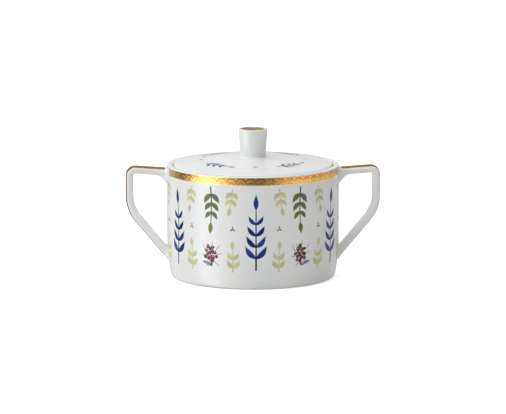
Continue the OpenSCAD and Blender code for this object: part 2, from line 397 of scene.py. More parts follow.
def lathe(profile, n):
    """Profile from axis to axis (r, z). Returns verts and faces of a closed solid of revolution."""
    verts, rings, faces = [], [], []
    cs = [(math.cos(2 * math.pi * i / n), math.sin(2 * math.pi * i / n)) for i in range(n)]
    for r, z in profile:
        if r < 1e-6:
            rings.append([len(verts)])
            verts.append((0.0, 0.0, z))
        else:
            rings.append(list(range(len(verts), len(verts) + n)))
            verts += [(r * c, r * s, z) for c, s in cs]
    for a, b in zip(rings[:-1], rings[1:]):
        for i in range(n):
            j = (i + 1) % n
            if len(a) == 1:
                faces.append((a[0], b[i], b[j]))
            elif len(b) == 1:
                faces.append((a[i], b[0], a[j]))
            else:
                faces.append((a[i], b[i], b[j], a[j]))
    # outward normals: the profile runs anticlockwise in (r, z) when the solid lies on its left
    area = sum(x0 * y1 - x1 * y0 for (x0, y0), (x1, y1) in zip(profile, profile[1:] + profile[:1]))
    if area > 0:
        faces = [f[::-1] for f in faces]
    return verts, faces


# ------------------------------------------------------------------ the bowl

def wall_r(z):
    z = np.asarray(z, dtype=float)
    d = np.clip(DRAW_Z - z, 0.0, DRAW_Z - HEEL_R)
    return R - DRAW_R + np.sqrt(DRAW_R ** 2 - d ** 2)


prof = fillet([(0.0, 1.6, 0), (FOOT_RI, 1.6, 0.8), (FOOT_RI, 0.5, 0.3), (FOOT_RI + 0.5, 0.0, 0.2), (HEEL_X, 0.0, 0)])
prof += arc(HEEL_X, HEEL_R, HEEL_R, -math.pi / 2, HEEL_A, 16)[1:]
prof += arc(R - DRAW_R, DRAW_Z, DRAW_R, HEEL_A, 0.0, 22)[1:]
top = fillet([(R, DRAW_Z, 0), (R, RIM, LIP), (GALLERY_R, RIM, 0.5), (GALLERY_R, SEAT_Z, 0.45), (SEAT_RI, SEAT_Z, 0.5),
              (SEAT_RI, SEAT_Z - 2.2, 1.2), (RI, SEAT_Z - 7.0, 2.5), (RI, 14.0, 0)])
prof += top[1:]
prof += arc(RI - 9.0, 14.0, 9.0, 0.0, -math.pi / 2, 20)[1:]
prof.append((0.0, 5.0))
verts, faces = lathe(support(prof), 288)
bowl = make("bowl_porcelain", verts, faces, MAT["bowl"], "bowl", ("bowl_body",), sharp=60)

# ------------------------------------------------------------------ the lid

def cap_z(r, drop=0.0):
    return CAP_Z + np.sqrt((CAP_R - drop) ** 2 - np.asarray(r, dtype=float) ** 2)


under = [(float(r), float(cap_z(r, LID_T))) for r in np.linspace(0.0, FLANGE_RI - 1.3, 22)]
zin = float(cap_z(FLANGE_RI, LID_T))
ring = fillet([(FLANGE_RI - 1.3, float(cap_z(FLANGE_RI - 1.3, LID_T)), 0), (FLANGE_RI, zin, 1.2), (FLANGE_RI, FLANGE_Z, 1.1),
               (FLANGE_RO, FLANGE_Z, 1.1), (FLANGE_RO, SEAT_Z, 0.35), (LID_R, SEAT_Z, 0.5),
               (LID_R, float(cap_z(LID_R)), 0.9), (LID_R - 3.0, float(cap_z(LID_R - 3.0)), 0)])
over = [(float(r), float(cap_z(r))) for r in np.linspace(LID_R - 3.0, 0.0, 44)]
prof = under + ring[1:] + over[1:]
verts, faces = lathe(support(prof, 0.15, 3.0), 288)
lid = make("lid_porcelain", verts, faces, MAT["white"], "lid", ("lid_plate",), sharp=60)

# knob: starts inside the lid's thickness and grows out of it; its top is dished for the gilding
DISH = 0.42
kn = fillet([(0.0, APEX - 1.6, 0), (9.0, APEX - 1.6, 0), (9.0, float(cap_z(9.0)) - 0.10, 0.0),
             (7.12, APEX - 0.04, 0.9), (8.1, KNOB_Z, 0.72), (7.06, KNOB_Z, 0.22), (6.98, KNOB_Z - DISH - 0.02, 0.05), (0.0, KNOB_Z - DISH - 0.02, 0)], 6.0)
verts, faces = lathe(support(kn, 0.2, 1.6), 160)
knob = make("knob_porcelain", verts, faces, MAT["white"], "lid", ("lid_knob",), sharp=70)

dk = fillet([(0.0, KNOB_Z - DISH - 0.30, 0), (6.93, KNOB_Z - DISH - 0.30, 0), (6.93, KNOB_Z - DISH + 0.03, 0.06), (0.0, KNOB_Z - DISH + 0.03, 0)], 30.0)
verts, faces = lathe(support(dk, 0.1, 1.5), 160)
disc = make("knob_gilding", verts, faces, MAT["disc"], "lid", ("knob_gold_disc",), sharp=40)

# ------------------------------------------------------------------ the handles

CLIMB = math.radians(4.0)
TOP_C, BEND_C, MID_X = 3.15, 20.65, 69.05
WALL_MID = 61.1 - 1.95 / math.cos(CLIMB)
C1X = MID_X - TOP_C
E1X = C1X - TOP_C * math.sin(CLIMB)
E1Z = WALL_MID + (E1X - R) * math.tan(CLIMB)
C1Z = E1Z - TOP_C * math.cos(CLIMB)
C2X, BEND_Z, SLANT = MID_X - BEND_C, 46.0, math.radians(40.0)
E2X, E2Z = C2X + BEND_C * math.cos(SLANT), BEND_Z - BEND_C * math.sin(SLANT)


def route():
    """Middle of the strap in the XZ plane: (x, z, heading) with dense steps near the wall."""
    pts = []
    near = [-1.7, -1.0, -0.5, -0.2, -0.05, 0.05, 0.12, 0.22, 0.35, 0.5, 0.7, 0.95, 1.25, 1.6, 2.0, 2.5, 3.0, 3.6, 4.3, 5.1, 6.0, 7.2, 8.6,
            10.2, 12.0, 14.0, 16.0]
    for d in near:
        if R + d < E1X - 0.3:
            pts.append((R + d, WALL_MID + d * math.tan(CLIMB), CLIMB))
    for i in range(15):
        a = math.pi / 2 + CLIMB - (math.pi / 2 + CLIMB) * i / 14
        pts.append((C1X + TOP_C * math.cos(a), C1Z + TOP_C * math.sin(a), a - math.pi / 2))
    for i in range(1, 6):
        pts.append((MID_X, C1Z + (BEND_Z - C1Z) * i / 6, -math.pi / 2))
    for i in range(19):
        a = -SLANT * i / 18
        pts.append((C2X + BEND_C * math.cos(a), BEND_Z + BEND_C * math.sin(a), a - math.pi / 2))
    h = -SLANT - math.pi / 2
    total = (E2X - 46.1) / -math.cos(h)
    low = [total - v / -math.cos(h) for v in [16.0, 14.0, 12.0, 10.2, 8.8, 7.6, 6.6, 5.8, 5.1, 4.5, 4.0, 3.6, 3.25, 2.95, 2.7, 2.5, 2.3, 2.15,
                                             2.02, 1.92, 1.8, 1.6, 1.2, 0.6, 0.0]]
    for l in low:
        if l > 0.4:
            pts.append((E2X + l * math.cos(h), E2Z + l * math.sin(h), h))
    return pts


def section():
    """Rounded strap section, (n, y) with n the thickness, going round from the middle of the outer face."""
    hn, hy, r = 1.95, 4.5, 1.75
    pts = []
    flat = [0.0, 0.8, 1.6, 2.3, 2.7]
    for y in flat:
        pts.append((hn, y))
    for i in range(9):
        a = math.pi / 2 * i / 8
        pts.append((hn - r + r * math.cos(a), hy - r + r * math.sin(a)))
    pts.append((0.0, hy))
    for i in range(9):
        a = math.pi / 2 * i / 8
        pts.append((-hn + r - r * math.sin(a), hy - r + r * math.cos(a)))
    for y in flat[::-1]:
        pts.append((-hn, y))
    half = pts
    other = [(n, -y) for n, y in half[::-1] if y > 1e-9]
    return half + other


def flare(d, rr):
    d = np.clip(d, 0.0, rr)
    return rr - np.sqrt(np.maximum(rr * rr - (rr - d) ** 2, 0.0))


def gusset(d, c, soft=1.1):
    """A sloped web with softened ends, c long along the wall."""
    g = 0.5 * ((c - d) + np.sqrt((c - d) ** 2 + soft * soft))
    end = 0.5 * ((c - 14.0) + np.sqrt((c - 14.0) ** 2 + soft * soft))
    return np.maximum(g - end, 0.0)


def handle_grid(side):
    rt, sec = route(), section()
    n_sec = len(sec)
    grid = np.zeros((len(rt), n_sec, 3))
    dist = np.zeros((len(rt), n_sec))
    half = len(rt) // 2
    for i, (x, z, h) in enumerate(rt):
        tx, tz = math.cos(h), math.sin(h)
        nx, nz = -tz, tx
        for k, (n, y) in enumerate(sec):
            px, pz = x + n * nx, z + n * nz
            d = math.hypot(px, y) - float(wall_r(pz))
            dist[i, k] = d
            upper = i < half
            out_r, in_r, side_r = (0.85, 4.3, 2.0) if upper else (1.3, 1.3, 1.5)
            fo, fs = float(flare(d, out_r)), float(flare(d, side_r))
            fi = float(gusset(np.clip(d, 0.0, 14.0), in_r)) if upper else float(flare(d, in_r))
            grow = min(max((i - 29) / 12.0, 0.0), 1.0)
            nn = n + (fo * n / 1.95 if n > 0 else (fi + 0.45 * grow * grow * (3 - 2 * grow)) * n / 1.95)
            yy = y + fs * y / 4.5
            grid[i, k] = (side * (x + nn * nx), yy, z + nn * nz)
    return grid, dist, sec


def build_handle(side, name, node_name, line_node):
    g, dist, sec = handle_grid(side)
    m, n = g.shape[:2]
    verts = g.reshape(-1, 3)
    faces = []
    for i in range(m - 1):
        for k in range(n):
            k2 = (k + 1) % n
            faces.append((i * n + k, i * n + k2, (i + 1) * n + k2, (i + 1) * n + k))
    faces.append(tuple(range(n))[::-1])
    faces.append(tuple((m - 1) * n + k for k in range(n)))
    # winding: outward
    if side > 0:
        faces = [f[::-1] for f in faces]
    ob = make(name, verts, faces, MAT["white"], "bowl", (node_name,), sharp=50)
    # gilding: brushed along the outer face and over the edge that faces the front, a hair proud of
    # it. It runs further over that edge on the left handle than on the right one.
    order = [k for k in range(n) if sec[k][1] >= 0 and sec[k][0] > 0][::-1] + [k for k in range(n - 1, 0, -1) if sec[k][1] < 0 and sec[k][0] > 0]
    pts = np.array([sec[k] for k in order])
    run = np.concatenate([[0], np.cumsum(np.linalg.norm(np.diff(pts, axis=0), axis=1))])
    run -= run[order.index(0)]
    rows = [i for i in range(m) if dist[i, 0] > 1.1]
    along = np.linspace(0, 1, len(rows))
    if side < 0:
        wrap = np.interp(along, [0, 0.22, 0.32, 0.5, 0.8, 1.0], [0.72, 0.72, 0.85, 0.9, 0.75, 0.5])
    else:
        wrap = np.interp(along, [0, 0.20, 0.34, 0.6, 0.8, 1.0], [0.72, 0.66, 0.18, 0.08, 0.40, 0.3])
    sub = np.zeros((len(rows), 15, 3))
    for j, i in enumerate(rows):
        q = np.linspace(-2.75 - 1.75 * 0.7, 2.75 + 1.75 * wrap[j], 15)
        for c in range(3):
            sub[j, :, c] = np.interp(q, run, g[i, order, c])
    nrm = np.cross(np.gradient(sub, axis=0), np.gradient(sub, axis=1))
    nrm /= np.linalg.norm(nrm, axis=2, keepdims=True)
    if nrm[len(rows) // 2, 7] @ np.array([side, 0, 0]) < 0:
        nrm = -nrm
    v, f = slab(sub + nrm * 0.03, sub - nrm * 0.10)
    make(name.replace("porcelain", "gilding"), v, f, MAT["line"], "bowl", (line_node,), sharp=40)
    return ob


def slab(outer_, inner_):
    """Closed thin solid between two grids of the same shape."""
    m, n = outer_.shape[:2]
    verts = np.concatenate([outer_.reshape(-1, 3), inner_.reshape(-1, 3)])
    o = m * n
    faces = []
    for i in range(m - 1):
        for j in range(n - 1):
            a, b, c, d = i * n + j, i * n + j + 1, (i + 1) * n + j + 1, (i + 1) * n + j
            faces.append((a, b, c, d))
            faces.append((o + d, o + c, o + b, o + a))
    for j in range(n - 1):
        faces.append((j, o + j, o + j + 1, j + 1))
        a, b = (m - 1) * n + j, (m - 1) * n + j + 1
        faces.append((b, o + b, o + a, a))
    for i in range(m - 1):
        a, b = i * n, (i + 1) * n
        faces.append((b, o + b, o + a, a))
        a, b = i * n + n - 1, (i + 1) * n + n - 1
        faces.append((a, o + a, o + b, b))
    # make the outer grid face away from the inner one
    e1 = outer_[1, 0] - outer_[0, 0]
    e2 = outer_[0, 1] - outer_[0, 0]
    i, j = m // 2, n // 2
    e1 = outer_[i, j - 1] - outer_[i - 1, j - 1] if m > 1 else e1
    e2 = outer_[i - 1, j] - outer_[i - 1, j - 1] if n > 1 else e2
    face_n = np.cross(e2, e1)
    if face_n @ (outer_[i, j] - inner_[i, j]) < 0:
        faces = [f[::-1] for f in faces]
    return verts, faces


build_handle(+1, "handle_right_porcelain", "handle_right", "handle_right_gold_line")
build_handle(-1, "handle_left_porcelain", "handle_left", "handle_left_gold_line")

# ------------------------------------------------------------------ the etched gold band

ARCHES = 24


def relief(u, v):
    """Height 0-1 of the etched pattern. u counts arches, v runs 0-1 up the band."""
    f = np.mod(u, 1.0) - 0.5
    x = f * 5.48
    y = v * 4.2

    def line(d, w, soft=0.10):
        return np.clip((w - np.abs(d)) / soft + 0.5, 0.0, 1.0)

    h = np.zeros_like(x)
    h = np.maximum(h, line(y - 0.12, 0.16))
    h = np.maximum(h, line(y - 4.05, 0.17))
    rr = np.hypot(x, (y - 0.30) * 0.98)
    h = np.maximum(h, line(rr - 2.45, 0.17) * (y > 0.2))
    h = np.maximum(h, line(rr - 1.75, 0.11) * (y > 0.2))
    th = np.arctan2(y - 0.30, x)
    ribs = np.abs(np.mod(th * 7 / math.pi, 1.0) - 0.5) * 2
    h = np.maximum(h, np.clip((ribs - 0.62) / 0.22, 0, 1) * (rr < 1.62) * (rr > 0.62) * 0.9)
    h = np.maximum(h, np.clip((0.5 - rr) / 0.1 + 0.5, 0, 1))
    # between two arches: a bead on a short stalk
    xs = np.abs(np.abs(x) - 2.74)
    bead = np.hypot(xs, y - 3.15)
    h = np.maximum(h, np.clip((0.40 - bead) / 0.1 + 0.5, 0, 1))
    h = np.maximum(h, line(xs, 0.10) * (y < 2.9) * (y > 1.9))
    for dx in (0.75,):
        small = np.hypot(xs - dx, y - 3.45)
        h = np.maximum(h, np.clip((0.22 - small) / 0.1 + 0.5, 0, 1) * 0.85)
    return h


def build_band(front):
    a0 = math.asin(BAND_STOP / R)
    lo, hi = (math.pi + a0, 2 * math.pi - a0) if front else (a0, math.pi - a0)
    n_cols = ARCHES * 34
    us = np.linspace(0.0, ARCHES, n_cols + 1)
    vs = np.concatenate([[0.0, 0.012], np.linspace(0.03, 0.97, 33), [0.988, 1.0]])
    U, V = np.meshgrid(us, vs)
    ang = lo + (hi - lo) * U / ARCHES
    z = BAND_Z0 + (BAND_Z1 - BAND_Z0) * V
    h = relief(U, V)
    edge_fall = np.minimum(np.clip(V / 0.02, 0, 1), np.clip((1 - V) / 0.02, 0, 1))
    edge_fall = np.minimum(edge_fall, np.clip(U / 0.04, 0, 1))
    edge_fall = np.minimum(edge_fall, np.clip((ARCHES - U) / 0.04, 0, 1))
    end = (U < 0.14) | (U > ARCHES - 0.14)
    h = np.where(end, np.maximum(h, 0.95), h)
    rad = R + 0.015 + 0.055 * h * edge_fall
    outer_ = np.stack([rad * np.cos(ang), rad * np.sin(ang), z], axis=2)
    m, n = outer_.shape[:2]
    inner_rows = np.stack([np.stack([(R - 0.2) * np.cos(ang[k]), (R - 0.2) * np.sin(ang[k]), z[k]], axis=1) for k in (0, m - 1)])
    verts = np.concatenate([outer_.reshape(-1, 3), inner_rows.reshape(-1, 3)])
    o = m * n
    faces = []
    for i in range(m - 1):
        for j in range(n - 1):
            faces.append((i * n + j, i * n + j + 1, (i + 1) * n + j + 1, (i + 1) * n + j))
    for j in range(n - 1):
        faces.append((o + j + 1, o + j, o + n + j, o + n + j + 1))      # inner face
        faces.append((j + 1, j, o + j, o + j + 1))                      # bottom
        t = (m - 1) * n
        faces.append((t + j, t + j + 1, o + n + j + 1, o + n + j))      # top
    left = [i * n for i in range(m)]
    right = [i * n + n - 1 for i in range(m)]
    faces.append(tuple([o] + left + [o + n])[::1])
    faces.append(tuple([o + n - 1] + right + [o + 2 * n - 1])[::-1])
    name = "rim_gilding_front" if front else "rim_gilding_back"
    hh = np.concatenate([(h * edge_fall).ravel(), np.zeros(2 * n)])
    make(name, verts, faces, MAT["relief"], "bowl", ("rim_gold_band",), sharp=180,
         attrs={"relief": ("FLOAT", hh)})


build_band(True)
build_band(False)

# ------------------------------------------------------------------ drawn decoration

class Art:
    """Collects drawn shapes of one kind, then makes one object of them."""

    def __init__(self, name, mat, body, base, slot="porcelain"):
        self.name, self.mat, self.body, self.base, self.slot = name, mat, body, base, slot
        self.v, self.f, self.st, self.ca, self.cb, self.cc = [], [], [], [], [], []
        self.count = 0
        self.total = 0

    def add(self, uv, st, surf, ca, cb, cc=None, lift=None):
        """uv, st: (m, n, 2) grids; surf maps (u, v, height) to a point."""
        self.count += 1
        h = self.base + 0.00045 * (self.count % 16) if lift is None else lift
        outer_ = surf(uv[..., 0], uv[..., 1], h)
        inner_ = surf(uv[..., 0], uv[..., 1], -0.05)
        v, f = slab(outer_, inner_)
        self.f += [tuple(k + self.total for k in q) for q in f]
        self.v.append(v)
        self.total += len(v)
        k = uv.shape[0] * uv.shape[1]
        s3 = np.concatenate([st.reshape(-1, 2), np.full((k, 1), self.count * 1.618)], axis=1)
        self.st.append(np.tile(s3, (2, 1)))
        for arr, c in ((self.ca, ca), (self.cb, cb), (self.cc, cc or cb)):
            arr.append(np.tile(np.array(c, dtype=float), (2 * k, 1)))

    def build(self):
        if not self.v:
            return None
        return make(self.name, np.concatenate(self.v), self.f, MAT[self.mat], self.body, sharp=60, attrs={
            "st": ("FLOAT_VECTOR", np.concatenate(self.st)), "ca": ("FLOAT_COLOR", np.concatenate(self.ca)),
            "cb": ("FLOAT_COLOR", np.concatenate(self.cb)), "cc": ("FLOAT_COLOR", np.concatenate(self.cc))})


def on_wall(u, v, h):
    v = np.clip(v, HEEL_R + 0.25, BAND_Z0 + 0.0)
    a = u / R
    r = wall_r(v) + h
    return np.stack([r * np.sin(a), -r * np.cos(a), v], axis=-1)


def on_lid(u, v, h):
    r = np.hypot(u, v)
    k = np.minimum(1.0, 43.2 / np.maximum(r, 1e-6))
    u, v = u * k, v * k
    r = np.hypot(u, v)
    cz = CAP_Z + np.sqrt((CAP_R + h) ** 2 - r * r)
    return np.stack([u, v, cz], axis=-1)


def curve(points, n):
    """Smooth curve through a few points (Catmull-Rom), evenly spaced by length."""
    p = np.array(points, dtype=float)
    if len(p) == 2:
        dense = p[0] + (p[1] - p[0]) * np.linspace(0, 1, 60)[:, None]
    else:
        q = np.vstack([2 * p[0] - p[1], p, 2 * p[-1] - p[-2]])
        parts = []
        for i in range(1, len(q) - 2):
            t = np.linspace(0, 1, 30, endpoint=(i == len(q) - 3))[:, None]
            p0, p1, p2, p3 = q[i - 1], q[i], q[i + 1], q[i + 2]
            parts.append(0.5 * ((2 * p1) + (-p0 + p2) * t + (2 * p0 - 5 * p1 + 4 * p2 - p3) * t ** 2 + (-p0 + 3 * p1 - 3 * p2 + p3) * t ** 3))
        dense = np.vstack(parts)
    seg = np.concatenate([[0], np.cumsum(np.linalg.norm(np.diff(dense, axis=0), axis=1))])
    want = np.linspace(0, seg[-1], n)
    return np.stack([np.interp(want, seg, dense[:, 0]), np.interp(want, seg, dense[:, 1])], axis=1)


def strip(points, width, n, m=4, wobble=0.0, seed=0):
    """Grid round a spine. width(s) is the half-width."""
    c = curve(points, n)
    d = np.gradient(c, axis=0)
    d /= np.linalg.norm(d, axis=1, keepdims=True)
    nrm = np.stack([-d[:, 1], d[:, 0]], axis=1)
    s = np.linspace(0, 1, n)
    rng = np.random.default_rng(seed)
    ph = rng.uniform(0, 6.28, 4)
    wl = np.array([width(x) for x in s])
    w1 = wl * (1 + wobble * (np.sin(s * 9 + ph[0]) * 0.6 + np.sin(s * 23 + ph[1]) * 0.4))
    w2 = wl * (1 + wobble * (np.sin(s * 8 + ph[2]) * 0.6 + np.sin(s * 21 + ph[3]) * 0.4))
    t = np.linspace(-1, 1, m * 2 + 1)
    grid = np.zeros((n, len(t), 2))
    for j, tt in enumerate(t):
        w = w2 if tt > 0 else w1
        grid[:, j] = c + nrm * (w * tt)[:, None]
    st = np.stack(np.meshgrid(s, t, indexing="ij"), axis=2)
    return grid, st


def leaf_width(w, belly=0.38, tip=1.25, base=0.10):
    """Lance-shaped leaf: w is the greatest half-width."""
    def f(s):
        if s < belly:
            k = math.sin(math.pi / 2 * (s / belly)) ** 0.85
        else:
            k = math.cos(math.pi / 2 * ((s - belly) / (1 - belly))) ** tip
        return max(0.035, base * w * (1 - s) + w * k * (1 - base * (1 - s)))
    return f


NAVY = [(lin((14, 30, 84)), lin((44, 78, 152))), (lin((16, 36, 94)), lin((54, 90, 166))), (lin((12, 25, 70)), lin((36, 64, 134)))]
DUSK = [(lin((4, 8, 36)), lin((18, 25, 78))), (lin((5, 11, 44)), lin((24, 33, 94)))]
LAV = [(lin((112, 112, 154)), lin((156, 156, 192))), (lin((130, 128, 166)), lin((180, 178, 206)))]
GREEN = (lin((66, 78, 28)), lin((146, 142, 58)), lin((62, 108, 122)))
OLIVE = [(lin((66, 80, 34)), lin((138, 140, 66))), (lin((60, 86, 62)), lin((118, 136, 92)))]
OLIVE_STEM = (lin((62, 74, 48)), lin((104, 112, 76)))
STRAW = [(lin((206, 198, 120)), lin((230, 223, 168))), (lin((178, 190, 146)), lin((214, 218, 184)))]
BLUE_GREEN = (lin((54, 84, 76)), lin((112, 132, 100)), lin((58, 106, 130)))
TEAL = (lin((58, 82, 44)), lin((128, 138, 62)), lin((54, 104, 124)))
YELLOW = (lin((206, 198, 112)), lin((230, 223, 164)), lin((170, 178, 146)))
PALE = (lin((214, 218, 184)), lin((233, 234, 213)), lin((182, 194, 172)))
LEMON = (lin((222, 206, 112)), lin((234, 225, 164)), lin((168, 178, 138)))
MOSS = (lin((150, 168, 122)), lin((206, 208, 158)), lin((104, 130, 112)))
LILAC = (lin((204, 203, 213)), lin((224, 223, 227)), lin((172, 174, 188)))
GREY = (lin((104, 110, 112)), lin((142, 147, 142)))
SLATE = (lin((44, 50, 70)), lin((90, 96, 112)))
BERRY = [(lin((72, 12, 30)), lin((136, 40, 56))), (lin((92, 20, 40)), lin((164, 70, 82))), (lin((56, 12, 28)), lin((112, 32, 50)))]
PINK = (lin((222, 178, 182)), lin((240, 222, 222)))
GOLD = (lin((120, 80, 34)), lin((176, 132, 72)))
VEIN = (lin((170, 179, 160)), lin((200, 205, 188)))
VEIN_DARK = (lin((36, 52, 40)), lin((84, 104, 84)))
BLUE_STEM = (lin((16, 28, 76)), lin((38, 60, 124)))
DUSK_STEM = (lin((16, 20, 56)), lin((40, 46, 96)))


def art_set(prefix, body, surf):
    """The layers of one printed surface, from the lowest wash to the gold."""
    spec = (("wash", "pale_leaves", "wash", 0.020), ("stem", "stems", "stem", 0.030),
            ("leaf", "leaves", "leaf", 0.042), ("berry", "berries", "berry", 0.052), ("gold", "gold_trefoils", "drawn", 0.060))
    return {key: Art(prefix + "_" + nm, mat, body, base, "gilding" if key == "gold" else "porcelain") for key, nm, mat, base in spec}


def leaf(art, pts, w, cols, surf, n=30, belly=0.38, tip=1.25, seed=0):
    g, st = strip(pts, leaf_width(w, belly, tip), n, 5, 0.035, seed)
    art.add(g, st, surf, cols[0], cols[1])


def stem(art, pts, w0, w1, cols, surf, n=None, wobble=0.12):
    c = np.array(pts, dtype=float)
    length = float(np.sum(np.linalg.norm(np.diff(c, axis=0), axis=1)))
    n = n or max(8, int(length * 1.4))
    g, st = strip(pts, lambda s: (w0 + (w1 - w0) * s), n, 1, wobble, int(abs(c[0, 0]) * 7 + length))
    art.add(g, st, surf, cols[0], cols[1])


def dot(art, c, r, cols, surf, squash=1.0, rot=0.0, k=14):
    a = np.linspace(0, 2 * math.pi, k + 1)
    s_ = np.array([0.06, 0.4, 0.75, 1.0])
    S, A_ = np.meshgrid(s_, a, indexing="ij")
    x = r * S * np.cos(A_)
    y = r * S * np.sin(A_) * squash
    ca, sa = math.cos(rot), math.sin(rot)
    g = np.stack([c[0] + x * ca - y * sa, c[1] + x * sa + y * ca], axis=2)
    art.add(g, np.stack([S, A_ / math.pi - 1], axis=2), surf, *cols)


def berries(A, c, w, h, seed, surf, side=1, count=16, leaves=1):
    """A posy of berries on stalks that meet below it, with slate needles and a veined pale leaf."""
    rng = np.random.default_rng(seed)

    def at(x, y):
        return (c[0] + x, c[1] + y)

    root = (0.15 * w, -1.45 * h)
    spots = []
    for i in range(count):
        r = math.sqrt((i + 0.6) / count)
        a = i * 2.399963 + seed
        spots.append((w * r * math.cos(a) * (0.8 + 0.2 * r), h * r * math.sin(a) + 0.05 * h))
    for x, y in spots[::2]:
        stem(A["stem"], [at(*root), at(x * 0.45, -0.75 * h + 0.2 * y), at(x, y)], 0.14, 0.10, SLATE, surf, n=8)
    dot(A["wash"], at(0, 0), 0.8 * h, PINK, surf, 0.86 * w / h, math.pi / 2, 18)
    for k, (x, y) in enumerate(spots):
        x += rng.uniform(-0.12, 0.12)
        y += rng.uniform(-0.12, 0.12)
        r = rng.uniform(0.86, 1.12)
        q, rot = rng.uniform(0.78, 0.95), rng.uniform(0, 3)
        dot(A["berry"], at(x, y), r * 1.1, (BERRY[2][0], BERRY[2][0]), surf, q, rot)
        dot(A["berry"], at(x, y), r * 0.9, BERRY[k % 3], surf, q, rot)
        if k % 3:
            dot(A["berry"], at(x - 0.26 * r, y + 0.32 * r), r * 0.34, PINK, surf, 0.7, 0.5, 9)
    for x, y, dx, dy in ((-0.85, 0.35, -0.45, 0.95), (0.75, 0.45, 0.75, 0.75), (0.95, 0.0, 0.85, 0.20), (0.1, 0.9, 0.25, 0.70), (-0.95, -0.25, -0.55, 0.15),
                         (-0.5, 0.8, -0.15, 0.55), (0.6, -0.9, 0.7, -0.5), (-0.3, -1.0, -0.55, -0.55)):
        d = rng.uniform(-0.15, 0.15)
        stem(A["stem"], [at(x * w, y * h), at((x + dx * 0.55) * w, (y + dy * 0.5 + d) * h), at((x + dx) * w, (y + dy) * h)], 0.19, 0.05, SLATE, surf, n=8)
    for k in range(leaves):
        sd = side if k == 0 else -side
        tip = (root[0] + sd * 1.55 * w, root[1] + (0.28 - 0.75 * k) * h + 0.2 * h)
        mid = ((root[0] + tip[0]) / 2, (root[1] + tip[1]) / 2 + 0.14 * h)
        leaf(A["wash"], [at(*root), at(*mid), at(*tip)], 0.95, LAV[k % 2], surf, 16, 0.5, 1.0, seed + k)
        stem(A["stem"], [at(*root), at(*mid), at(*tip)], 0.10, 0.06, SLATE, surf, n=12)


def sprig(A, S, u, v, deg, length, w, leaf_len, cols, stem_cols, key="leaf", pairs=3, bend=0.0, spread=50.0, seed=0):
    """A plain twig drawn by rule: opposite pairs of leaves and one at the tip."""
    n = 12
    pts, x, y = [], u, v
    for i in range(n + 1):
        pts.append((x, y))
        h = math.radians(deg + bend * i / n)
        x, y = x + length / n * math.cos(h), y + length / n * math.sin(h)
    stem(A["wash" if key == "wash" else "stem"], pts, 0.46, 0.26, stem_cols, S)

    def one(bx, by, h, size, turn, c_, sd):
        mid = (bx + 0.5 * size * math.cos(h), by + 0.5 * size * math.sin(h))
        end = (mid[0] + 0.5 * size * math.cos(h - turn), mid[1] + 0.5 * size * math.sin(h - turn))
        leaf(A[key], [(bx, by), mid, end], w * size / leaf_len, c_, S, n=22, belly=0.42, seed=sd)

    for j in range(pairs):
        t = 0.20 + 0.74 * j / pairs
        i = int(t * n)
        f = t * n - i
        bx, by = pts[i][0] * (1 - f) + pts[i + 1][0] * f, pts[i][1] * (1 - f) + pts[i + 1][1] * f
        h = math.radians(deg + bend * t)
        for side in (-1, 1):
            one(bx, by, h + side * math.radians(spread), leaf_len * (1 - 0.10 * j), side * 0.35,
                cols[(j + (side > 0)) % len(cols)], seed + 2 * j + (side > 0))
    one(pts[-1][0], pts[-1][1], math.radians(deg + bend), 0.9 * leaf_len, 0.0, cols[0], seed + 40)


def trefoil(A, S, u, v, seed):
    """Three short gold strokes."""
    for k in range(3):
        h = math.radians(90 + 120 * k)
        leaf(A["gold"], [(u, v), (u + 0.8 * math.cos(h), v + 0.8 * math.sin(h)), (u + 1.7 * math.cos(h), v + 1.7 * math.sin(h))], 0.42,
             GOLD, S, n=8, belly=0.6, seed=seed + k)


PITCH = 26.0


def garden(A, S, k=0):
    """A stock sprig repeat on an even pitch, mirrored about the middle of its side."""
    for i in range(-2, 3):
        u, m = PITCH * i, (1 if i > 0 else -1)
        if i % 2 == 0:
            sprig(A, S, u, 11.0, 90 + (6 * m if i else 0), 34.0, 1.5, 9.5, NAVY, BLUE_STEM, pairs=4,
                  bend=-12 * m if i else 0, spread=50, seed=300 + 60 * i + k)
        else:
            sprig(A, S, u, 57.0, -90 - 5 * m, 20.0, 1.5, 7.2, OLIVE, OLIVE_STEM, pairs=3, bend=10 * m, spread=52, seed=310 + 60 * i + k)
            berries(A, (u, 19.5), 4.0, 4.6, 330 + i + k, S, side=m, count=14)
    for i in range(-3, 3):
        u, m = PITCH * (i + 0.5), (1 if i >= 0 else -1)
        sprig(A, S, u, 10.0, 90 + 4 * m, 12.5, 1.35, 5.8, STRAW, STRAW[0], key="wash", pairs=2, bend=-8 * m, seed=350 + 60 * i + k)
        sprig(A, S, u, 56.5, -90 + 4 * m, 11.0, 1.3, 5.4, STRAW[::-1], STRAW[0], key="wash", pairs=2, bend=8 * m, seed=360 + 60 * i + k)
        trefoil(A, S, u, 34.0, 370 + i + k)


def in_loop(A, S, k=0):
    """One small sprig behind each handle, between its two roots."""
    sprig(A, S, 0.0, 30.0, 90, 10.0, 1.3, 5.4, STRAW, STRAW[0], key="wash", pairs=2, seed=500 + k)


wall_art = art_set("print", "bowl", on_wall)
HALF = math.pi * R
garden(wall_art, on_wall)
garden(wall_art, lambda u, v, h: on_wall(HALF - u, v, h), 200)
in_loop(wall_art, lambda u, v, h: on_wall(u + HALF / 2, v, h))
in_loop(wall_art, lambda u, v, h: on_wall(-HALF / 2 - u, v, h), 40)

